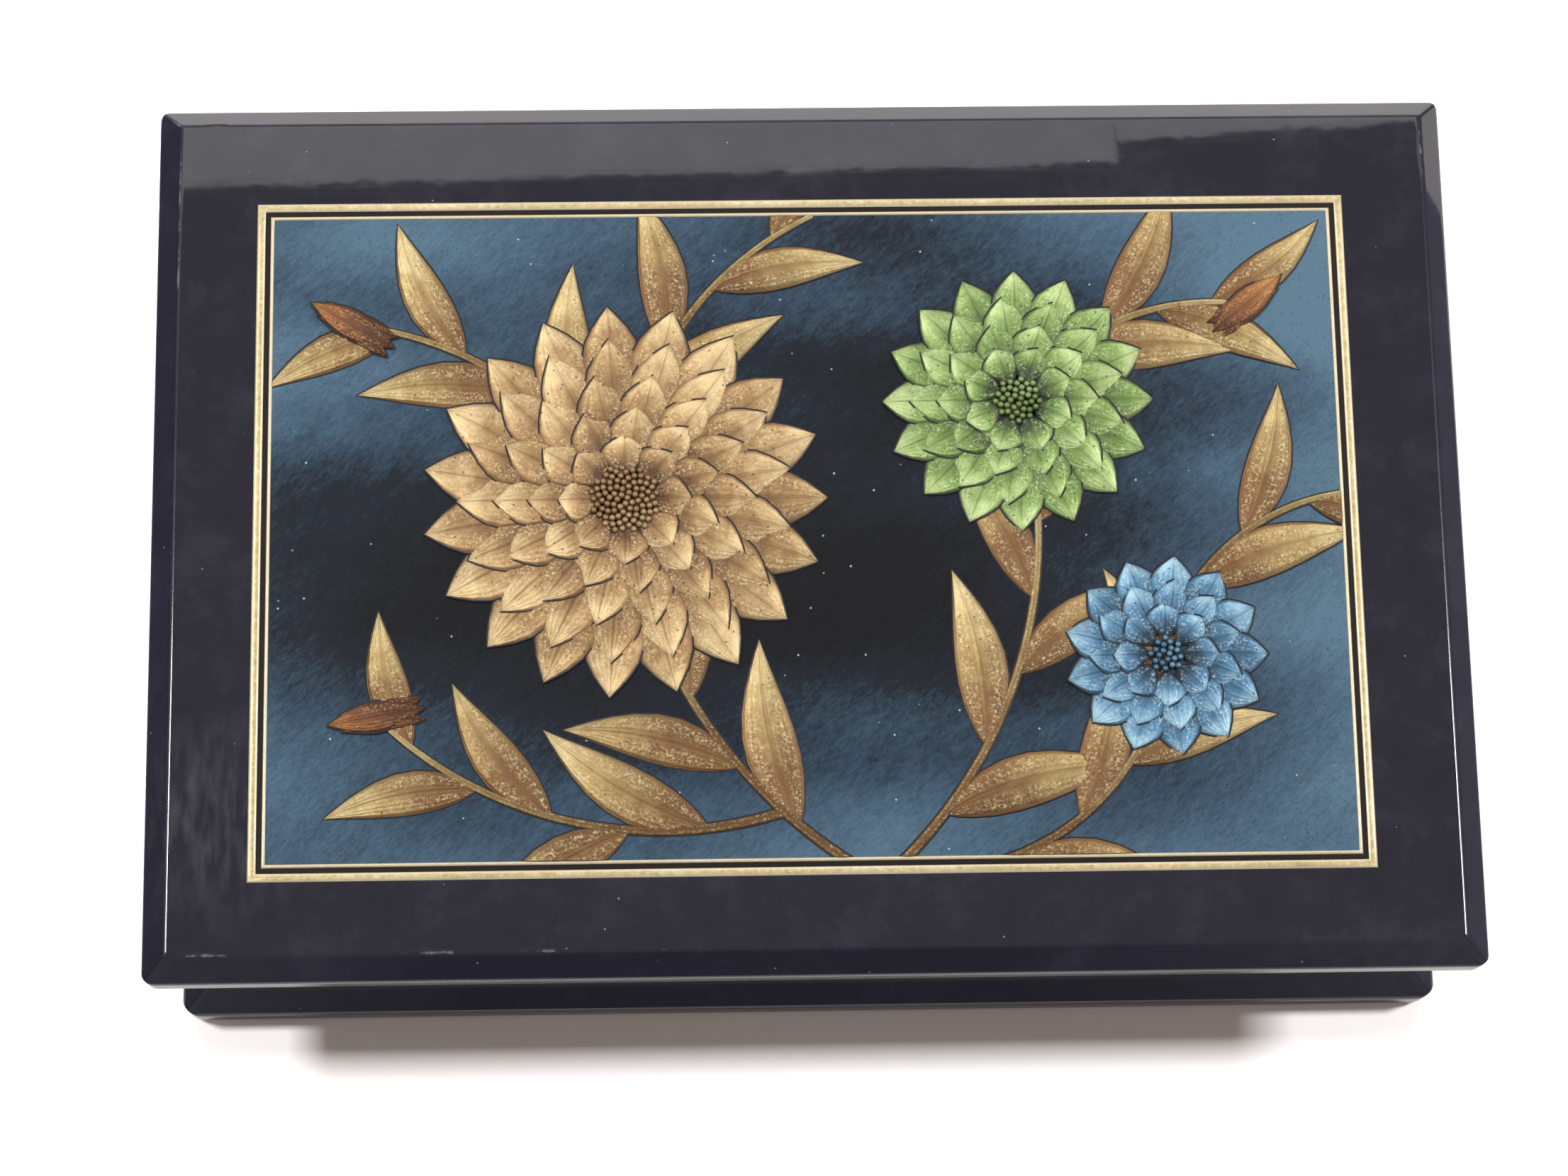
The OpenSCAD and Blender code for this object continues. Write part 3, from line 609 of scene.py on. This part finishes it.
def arc(start, end, bow, share):
    """Points and headings along an arc from start to end whose middle stands off the chord by bow times
    it, with radius chord * (1 / (8 |bow|) + |bow| / 2)."""
    chord = end - start
    span = np.hypot(*chord)
    radius = span * (1 / (8 * abs(bow)) + abs(bow) / 2)
    side = np.array([-chord[1], chord[0]]) / span
    centre = (start + end) / 2 + side * (bow * span - math.copysign(radius, bow))
    sweep = -math.copysign(2 * math.asin(span / (2 * radius)), bow)
    turn = math.atan2(*(start - centre)[::-1]) + sweep * np.asarray(share)
    spots = centre + radius * np.stack([np.cos(turn), np.sin(turn)], -1)
    return spots, turn + math.copysign(math.pi / 2, sweep)


def blade(length, width, rise, fullness, bend=0.0, roll=0.0):
    """Embossed blade from the origin along +X, as a grid of points and its UV. At share u of the length
    the half width is width / 2 * sin(pi * u**fullness), and at share v across, the height is roll * v
    plus rise * sin(pi * u)**TIP_POWER times a dome, sqrt(1 - v*v) less
    MIDRIB_DEPTH * exp(-(v / MIDRIB_W)**2) for the midrib. Its line bows sideways by
    bend * length * 4u(1 - u). The rows past v = -1 and 1 are the flat outline."""
    u = (0.5 - 0.5 * np.cos(np.pi * np.linspace(0, 1, BLADE_STEPS)))[:, None]
    v = ROWS[None, :]
    half = width / 2 * np.sin(np.pi * u**fullness)
    groove = MIDRIB_DEPTH * np.exp(-(v / MIDRIB_W) ** 2)
    dome = np.sin(np.pi * u) ** TIP_POWER * (np.sqrt(1 - v * v) - groove)
    body = np.stack([length * u + 0 * v, half * v, rise * dome + roll * v], -1)
    rim_x = -OUTLINE + (length + 2 * OUTLINE) * u
    rim_y = half + OUTLINE * np.sin(np.pi * u) ** 0.5
    rims = [np.stack([rim_x, side * rim_y, side * roll + 0 * u], -1) for side in (-1, 1)]
    points = np.concatenate([rims[0], body, rims[1]], axis=1)
    points[..., 1] += bend * length * 4 * u * (1 - u)
    return points, np.stack([u + 0 * ACROSS, ACROSS + 0 * u], -1)


def stalk(start, end, bow, thick, thin):
    """Embossed stem: a half-round strip along an arc, from thick to thin, with a flat outline on each
    side."""
    share = np.linspace(0, 1, STALK_STEPS)
    spots, heading = arc(start, end, bow, share)
    v = np.concatenate([[-1 - 2 * OUTLINE / thick], ROWS, [1 + 2 * OUTLINE / thick]])[None, :]
    half = (thick + (thin - thick) * share)[:, None] / 2
    side = np.stack([-np.sin(heading), np.cos(heading)], -1)[:, None, :]
    flat = spots[:, None, :] + side * (half * v)[..., None]
    height = STEM_RISE * np.sqrt(np.clip(1 - v * v, 0, None)) + 0 * half
    points = np.concatenate([flat, height[..., None]], -1)
    return points, np.stack([share[:, None] + 0 * ACROSS, ACROSS + 0 * half], -1)


def turned(points, spot, angle, lift):
    """Points turned by an angle about Z, moved to a spot on the plate and lifted off its face."""
    c, s = math.cos(angle), math.sin(angle)
    x, y = points[..., 0] * c - points[..., 1] * s, points[..., 0] * s + points[..., 1] * c
    return np.stack([x + spot[0], y + spot[1], points[..., 2] + plate_high[2] + lift], -1)


def make_relief(name, patches, node, material):
    """One piece from a list of (grid of points, UV): quads between neighbours of each grid, poles
    merged, cut off at the field's edges, with the UV map relief and a point attribute tint that differs
    from patch to patch."""
    points, faces, maps, tints = [], [], [], []
    start = 0
    for k, (grid, uv) in enumerate(patches):
        rows, columns = grid.shape[:2]
        number = start + np.arange(rows * columns).reshape(rows, columns)
        faces.append(grid_quads(number))
        points.append(grid.reshape(-1, 3))
        maps.append(uv.reshape(-1, 2))
        tints.append(np.full(rows * columns, (k * TINT_STEP) % 1))
        start += rows * columns
    faces, maps = np.concatenate(faces), np.concatenate(maps)
    thing = make_piece(name, np.concatenate(points), faces, "lid", [node], material)
    thing.data.uv_layers.new(name="relief").data.foreach_set("uv", maps[faces.ravel()].ravel())
    thing.data.attributes.new("tint", "FLOAT", "POINT").data.foreach_set("value", np.concatenate(tints))
    merged = bmesh.new()
    merged.from_mesh(thing.data)
    bmesh.ops.remove_doubles(merged, verts=merged.verts, dist=MERGE)
    for axis, side in ((0, -1), (0, 1), (1, -1), (1, 1)):
        brink, outward = [0.0, 0.0, 0.0], [0.0, 0.0, 0.0]
        brink[axis], outward[axis] = field_middle[axis] + side * field_half[axis], side
        bmesh.ops.bisect_plane(merged, geom=[*merged.verts, *merged.edges, *merged.faces], plane_co=brink,
                               plane_no=outward, clear_outer=True)
    merged.to_mesh(thing.data)
    merged.free()


def grey(level):
    """Linear RGBA of a grey."""
    return (level, level, level, 1.0)


def relief_foil(name, root, body, tip, fleck, glint):
    """Painted foil for an embossed shape, on its UV: root to tip colours along it, darkest at the root as
    painted shade where petals slip under their neighbours, one half across it in more light than the
    other as painted light, the root colour as painted shade in the recess by the dark outline and along
    the midrib, painted glints on the crests between, pinholes 0.2 mm across, and the foil's own
    crinkle, whose grain of about 0.1 mm is drawn three times as coarse so that it shows."""
    material, tree = new_material(name)
    place = add(tree, "TexCoord").outputs["Object"]
    shape = add(tree, "UVMap", uv_map="relief")
    axes = add(tree, "SeparateXYZ", {"Vector": shape})
    tint = add(tree, "Attribute", attribute_name="tint")
    shift = add(tree, "MapRange", {"Value": tint.outputs["Fac"], "To Min": -0.12, "To Max": 0.12})
    mottle = add(tree, "TexNoise", {"Vector": place, "Scale": 1 / (2.2 * MM), "Detail": 5.0,
                 "Roughness": 0.65})
    mixed = add(tree, "MapRange", {"Value": mottle, "To Min": -0.35, "To Max": 0.35})
    along = add(tree, "Math", {0: axes.outputs["X"], 1: shift}, operation="ADD")
    length = add(tree, "Math", {0: along, 1: mixed}, operation="ADD")
    # Root to tip colours; the dark root is painted shade where petals slip under their neighbours.
    paint = add(tree, "ValToRGB", {"Fac": length},
                stops=[(0.3, colour(root)), (0.68, colour(body)), (1.0, colour(tip))])
    grain = add(tree, "TexNoise", {"Vector": place, "Scale": 1 / (0.3 * MM), "Detail": 3.0,
                "Roughness": 0.75})
    off = add(tree, "Math", {0: axes.outputs["Y"], 1: 0.5}, operation="SUBTRACT")
    far = add(tree, "Math", {0: off}, operation="ABSOLUTE")
    # Painted glints: pale flecks of the glint colour on the crests between the middle and the rims.
    crest = add(tree, "ValToRGB", {"Fac": far},
                stops=[(0.04, grey(0.0)), (0.2, grey(1.0)), (0.33, grey(1.0)), (0.41, grey(0.0))])
    # Painted shade: the root colour in the recess by the outline and along the midrib.
    recess_shade = add(tree, "ValToRGB", {"Fac": far},
                 stops=[(0.0, grey(0.5)), (0.035, grey(0.0)), (0.37, grey(0.0)), (0.44, grey(0.75))])
    recess_shaded = add(tree, "MixRGB", {"Fac": recess_shade, "Color1": paint, "Color2": colour(root)})
    # Painted light: one half across is brighter than the other.
    slope = add(tree, "MapRange", {"Value": off, "From Min": -0.35, "From Max": 0.35, "To Min": 0.8,
                "To Max": 1.12})
    sided = add(tree, "MixRGB", {"Fac": 1.0, "Color1": recess_shaded, "Color2": slope}, blend_type="MULTIPLY")
    broken = add(tree, "MapRange", {"Value": grain, "From Min": 0.5, "From Max": 0.72, "To Max": 0.7})
    painted_glints = add(tree, "Math", {0: crest, 1: broken}, operation="MULTIPLY")
    lit = add(tree, "MixRGB", {"Fac": painted_glints, "Color1": sided, "Color2": colour(glint)})
    hole = add(tree, "TexVoronoi", {"Vector": place, "Scale": 1 / (0.8 * MM)})
    near = add(tree, "MapRange", {"Value": hole, "From Min": 0.2, "From Max": 0.1})
    pick = add(tree, "SeparateXYZ", {"Vector": hole.outputs["Color"]})
    some = add(tree, "MapRange", {"Value": pick.outputs["X"], "From Min": 0.6, "From Max": 0.65,
               "To Max": 0.75})
    pinhole = add(tree, "Math", {0: near, 1: some}, operation="MULTIPLY")
    aged = add(tree, "MixRGB", {"Fac": pinhole, "Color1": lit, "Color2": colour(fleck)})
    line = add(tree, "MapRange", {"Value": far, "From Min": 0.445, "From Max": 0.46})
    outlined = add(tree, "MixRGB", {"Fac": line, "Color1": aged, "Color2": colour("#0c0b10")})
    rib = add(tree, "TexWave", {"Vector": shape, "Scale": 3.0, "Distortion": 0.8}, bands_direction="Y")
    pressed = add(tree, "MixRGB", {"Fac": 0.7, "Color1": rib.outputs["Fac"], "Color2": grain})
    bump = add(tree, "Bump", {"Height": pressed, "Strength": 0.8, "Distance": 0.12 * MM})
    surface = add(tree, "BsdfPrincipled", {"Base Color": outlined, "Metallic": 0.5, "Roughness": 0.38,
                  "Normal": bump})
    add(tree, "OutputMaterial", {"Surface": surface})
    return material


def under_blossoms(points):
    """Share of a point's height that is kept: 1 in the open, falling to UNDER_SHARE over the width
    UNDER_REACH about a blossom's outline, so that stems and leaves pass under the petals."""
    share = np.ones(points.shape[:-1])
    for node, centre in (("relief_large_blossom", large_at), ("relief_green_blossom", green_at),
                         ("relief_blue_blossom", blue_at)):
        low, high = node_box(node)
        radius = (high - low)[:2].max() / 2
        gap = np.hypot(*np.moveaxis(points[..., :2] - on_field(centre), -1, 0)) - radius
        clear = np.clip(gap / UNDER_REACH + 0.5, 0, 1)
        share = np.minimum(share, UNDER_SHARE + (1 - UNDER_SHARE) * clear)
    return share


gilt = relief_foil("gilded foil", "#6b4a26", "#9c8352", "#c9b481", "#3c2e1a", "#e9d8a6")
patches = []
for start, end, bow, leaves in stems:
    begin, finish = on_field(start), on_field(end)
    grid, uv = stalk(begin, finish, bow, STEM_W, STEM_W * STEM_TAPER)
    grid[..., 2] += plate_high[2] + STEP_UP * (1 + len(patches))
    patches.append((grid, uv))
    for k in range(1, leaves + 1):
        (spot,), (heading,) = arc(begin, finish, bow, [k / (leaves + LAST_LEAF_GAP)])
        size = 1 - LEAF_SHRINK * k / leaves
        side = 1 if k % 2 == 0 else -1
        grid, uv = blade(LEAF_L * size, LEAF_W * size, LEAF_RISE, LEAF_FULLNESS, bend=-LEAF_BEND * side)
        lift = STEP_UP * (1 + len(patches))
        patches.append((turned(grid, spot, heading + side * LEAF_SPREAD, lift), uv))
for grid, uv in patches:
    grid[..., 2] = plate_high[2] + (grid[..., 2] - plate_high[2]) * under_blossoms(grid)
make_relief("gilded_foliage", patches, "relief_foliage", gilt)

# Embossed blossoms.
# Three round garden flowers, one large and tan, one green and one pale blue: rings of petals that
# overlap like shingles, each ring shorter and higher than the last, round a head of small beads.
PETAL_RISE = 0.17 * MM
PETAL_ROLL = 0.06 * MM
RING_LIFT = 0.1 * MM
PETAL_ROOT = 0.28
PETAL_FULLNESS = 1.35
PETAL_OVERLAP = 1.25
WIDEST = 0.72
HEAD_SHARE = 0.17
HEAD_RISE = 0.25 * MM
BEAD_R = 0.42 * MM
BEAD_FLAT = 0.7
BEAD_FILL = 1.0073
BEAD_RINGS = 5
BEAD_SIDES = 10
GOLDEN_ANGLE = math.radians(137.5)


def bead_head(radius):
    """Beads on a spiral: bead k of n is turned by GOLDEN_ANGLE from the last and lies
    radius * sqrt((k + 0.5) / n) out. Each is a dome of radius BEAD_R and height BEAD_FLAT * BEAD_R, and
    at r from the middle it is lifted by HEAD_RISE * (1 - (r / radius)**2). Its UV goes from 0.4 to 0.9
    along, from its foot to its top, on the middle line, so that the foil's colours make each bead darker at
    its foot as painted shade and paler on top as painted light."""
    rises, turns = np.linspace(0, math.pi / 2, BEAD_RINGS), np.linspace(0, 2 * math.pi, BEAD_SIDES)
    lift, about = np.meshgrid(rises, turns)
    x, y = np.cos(lift) * np.cos(about), np.cos(lift) * np.sin(about)
    dome = np.stack([x, y, BEAD_FLAT * np.sin(lift)], -1)
    uv = np.stack([0.4 + 0.5 * np.sin(lift), 0.5 + 0 * lift], -1)
    count = int(BEAD_FILL * (radius / BEAD_R) ** 2)
    angle = np.arange(count) * GOLDEN_ANGLE
    out = radius * np.sqrt((np.arange(count) + 0.5) / count)
    height = HEAD_RISE * (1 - (out / radius) ** 2)
    spots = np.stack([out * np.cos(angle), out * np.sin(angle), height], -1)
    return [(BEAD_R * dome + spot, uv) for spot in spots]


def blossom(name, node, material, share, rings):
    """Flower of the node's size: rings of (reach as a share of its radius, petals), lifted ring by ring,
    and a bead head in the middle."""
    low, high = node_box(node)
    radius = (high - low)[:2].max() / 2
    spot = on_field(share)
    patches = []
    for level, (reach, petals) in enumerate(rings):
        tip, root = reach * radius, PETAL_ROOT * reach * radius
        width = PETAL_OVERLAP * 2 * math.pi * WIDEST * tip / petals
        for k in range(petals):
            angle = 2 * math.pi * (k + level / 2) / petals
            grid, uv = blade(tip - root, width, PETAL_RISE, PETAL_FULLNESS, roll=PETAL_ROLL)
            grid[..., 0] += root
            patches.append((turned(grid, spot, angle, PETAL_ROLL + RING_LIFT * (level + 1)), uv))
    top = PETAL_ROLL + RING_LIFT * (len(rings) + 1)
    for grid, uv in bead_head(HEAD_SHARE * radius):
        patches.append((turned(grid, spot, 0.0, top), uv))
    make_relief(name, patches, node, material)


tan = relief_foil("tan foil", "#4e3117", "#94744a", "#ceb484", "#2a1a0e", "#e8d3a4")
green = relief_foil("green foil", "#2b391c", "#6d8744", "#acbf80", "#222e17", "#cfdca2")
pale_blue = relief_foil("pale blue foil", "#1a3040", "#446f8c", "#93b6c6", "#14232d", "#bcd4de")
blossom("tan_blossom", "relief_large_blossom", tan, large_at,
        [(1.0, 19), (0.83, 17), (0.65, 14), (0.48, 11), (0.33, 8)])
blossom("green_blossom", "relief_green_blossom", green, green_at,
        [(1.0, 16), (0.8, 13), (0.6, 10), (0.42, 8)])
blossom("blue_blossom", "relief_blue_blossom", pale_blue, blue_at,
        [(1.0, 13), (0.76, 11), (0.52, 8)])

# Embossed buds.
# Three shut buds at the ends of side stems, rust brown, each a middle petal between two wrapping ones.
BUD_L = 11 * MM
BUD_W = 5 * MM
BUD_TURN = [150, 190, 40]
# Each petal's lean in degrees, shares of the bud's length and width, and lift.
BUD_PETALS = [(-14, 0.88, 0.6, 0.18 * MM), (14, 0.88, 0.6, 0.18 * MM), (0, 1.0, 0.7, 0.28 * MM)]
rust = relief_foil("rust foil", "#4c2b15", "#7d4e26", "#a06d3b", "#2f1a0c", "#cf9a62")
patches = []
for share, angle in zip(bud_at, BUD_TURN):
    for lean, long, wide, lift in BUD_PETALS:
        grid, uv = blade(BUD_L * long, BUD_W * wide, LEAF_RISE, 1.0)
        grid[..., 0] -= BUD_L / 2
        patches.append((turned(grid, on_field(share), math.radians(angle + lean), lift), uv))
make_relief("rust_buds", patches, "relief_buds", rust)

# Stage.
# White card on a table in a dim room, a sheet under the box and one behind it. The camera sees the card
# as bright as a photograph shows it, about twice the light that it gives the box, and reflections see it
# half way between. Past the card, the lacquer mirrors the darker room.
CARD = [(-0.1, -0.2), (0.1, -0.2), (0.1, -0.01), (0.27, 0.122), (0.27, 0.6), (-0.1, 0.6)]
CARD_SHOWN = (2.0, 1.96, 1.94, 1.0)
MIRRORED = 0.5
SHADOW_FILL = (0.25, 0.202, 0.166, 1.0)
card, tree = new_material("white card")
path = add(tree, "LightPath")
bent = add(tree, "Math", {0: path.outputs["Is Glossy Ray"], 1: path.outputs["Is Transmission Ray"]},
           operation="MAXIMUM")
seen = add(tree, "Math", {0: bent, 1: MIRRORED, 2: path.outputs["Is Camera Ray"]},
           operation="MULTIPLY_ADD")
shown = add(tree, "MixRGB", {"Fac": seen, "Color1": colour("#f6f4f2"), "Color2": CARD_SHOWN})
matt = add(tree, "BsdfDiffuse", {"Color": shown})
add(tree, "OutputMaterial", {"Surface": matt})
floor_mesh = bpy.data.meshes.new("floor")
floor_mesh.from_pydata([(x, y, 0.0) for x, y in CARD], [], [list(range(len(CARD)))])
floor_mesh.materials.append(card)
floor = bpy.data.objects.new("floor", floor_mesh)
bpy.context.scene.collection.objects.link(floor)

# World: white to the camera; to the light, a room that is grey overhead, dim on the left and straight in
# front, lighter to each side of that, pale behind, and warm where it fills the shadow.
world = bpy.data.worlds.new("studio")
bpy.context.scene.world = world
world.use_nodes = True
tree = world.node_tree
tree.nodes.clear()
way = add(tree, "TexCoord").outputs["Generated"]
axes = add(tree, "SeparateXYZ", {"Vector": way})
above = add(tree, "ValToRGB", {"Fac": axes.outputs["Z"]},
            stops=[(0.1, (0.27, 0.26, 0.36, 1.0)), (0.8, (0.6, 0.6, 0.62, 1.0))])
behind = add(tree, "MapRange", {"Value": axes.outputs["Y"], "From Min": 0.5, "From Max": 0.9,
             "To Max": 0.5})
beside = add(tree, "MapRange", {"Value": axes.outputs["X"], "From Min": 0.6, "From Max": 0.9,
             "To Max": 0.2})
aside = add(tree, "Math", {0: axes.outputs["X"], 1: 0.5}, operation="ADD")
flank = add(tree, "ValToRGB", {"Fac": aside},
            stops=[(0.34, (0.3, 0.3, 0.32, 1.0)), (0.44, grey(0.0)), (0.58, grey(0.0)),
                   (0.74, grey(0.34))])
ahead = add(tree, "MapRange", {"Value": axes.outputs["Y"], "From Min": -0.6, "From Max": -0.93})
front = add(tree, "Math", {0: flank, 1: ahead}, operation="MULTIPLY")
back = add(tree, "Math", {0: behind, 1: beside}, operation="MAXIMUM")
walls = add(tree, "Math", {0: back, 1: front}, operation="MAXIMUM")
room = add(tree, "MixRGB", {"Fac": 1.0, "Color1": above, "Color2": walls}, blend_type="ADD")
path = add(tree, "LightPath")
dim = add(tree, "MixRGB", {"Fac": path.outputs["Is Diffuse Ray"], "Color1": grey(1.0),
          "Color2": SHADOW_FILL})
spill = add(tree, "MixRGB", {"Fac": 1.0, "Color1": room, "Color2": dim}, blend_type="MULTIPLY")
clear = add(tree, "Math", {0: path.outputs["Is Camera Ray"], 1: path.outputs["Is Transmission Ray"]},
            operation="MAXIMUM")
seen = add(tree, "MixRGB", {"Fac": clear, "Color1": spill, "Color2": grey(1.0)})
air = add(tree, "Background", {"Color": seen, "Strength": 1.0})
add(tree, "OutputWorld", {"Surface": air})


def lamp(name, spot, aim, size, power, turn=0.0):
    """Oblong soft lamp at a spot, facing an aim point, then turned about Z."""
    light = bpy.data.lights.new(name, "AREA")
    light.shape = "RECTANGLE"
    light.size, light.size_y = size
    light.energy = power
    holder = bpy.data.objects.new(name, light)
    holder.location = spot
    away = np.array(spot) - np.array(aim)
    yaw = math.atan2(away[0], -away[1])
    tilt = math.atan2(np.hypot(away[0], away[1]), away[2])
    holder.rotation_euler = (tilt, 0.0, yaw + turn)
    bpy.context.scene.collection.objects.link(holder)


LAMP_AIM = (0.0, 0.135, 0.02)
lamp("left_lamp", (-0.536, 0.135, 0.95), LAMP_AIM, size=(0.17, 0.13), power=4.9)
lamp("right_lamp", (0.70, 0.135, 0.95), LAMP_AIM, size=(0.17, 0.18), power=6.2)
lamp("back_lamp", (-0.103, 0.441, 0.535), (-0.103, 0.441, 0.0), size=(0.394, 0.44), power=1.1,
     turn=math.radians(1.0))
lamp("side_lamp", (0.197, 0.457, 0.535), (0.197, 0.457, 0.0), size=(0.225, 0.44), power=0.64,
     turn=math.radians(3.5))
lamp("window", (-0.54, 0.70, 0.08), (-0.07, 0.05, 0.03), size=(0.12, 0.1), power=1.0)

# Camera: above and a little in front of the box, through a long lens, as in the photograph.
# Its spot is counted from the lid's face, and its turn is in degrees.
PHOTO_W = 2212
FOCAL_PIXELS = 5271.0
SENSOR = 36.0
CAMERA_SPOT = (-0.01362, -0.10638, 0.41063)
CAMERA_TURN = (13.554, -1.228, -0.985)
view = bpy.data.cameras.new("camera")
view.sensor_width = SENSOR
view.lens = SENSOR * FOCAL_PIXELS / PHOTO_W
eye = bpy.data.objects.new("camera", view)
eye.location = np.array(CAMERA_SPOT) + np.array([0.0, 0.0, lid_high[2]])
eye.rotation_euler = [math.radians(turn) for turn in CAMERA_TURN]
bpy.context.scene.collection.objects.link(eye)
bpy.context.scene.camera = eye
bpy.context.scene.view_settings.view_transform = "Standard"
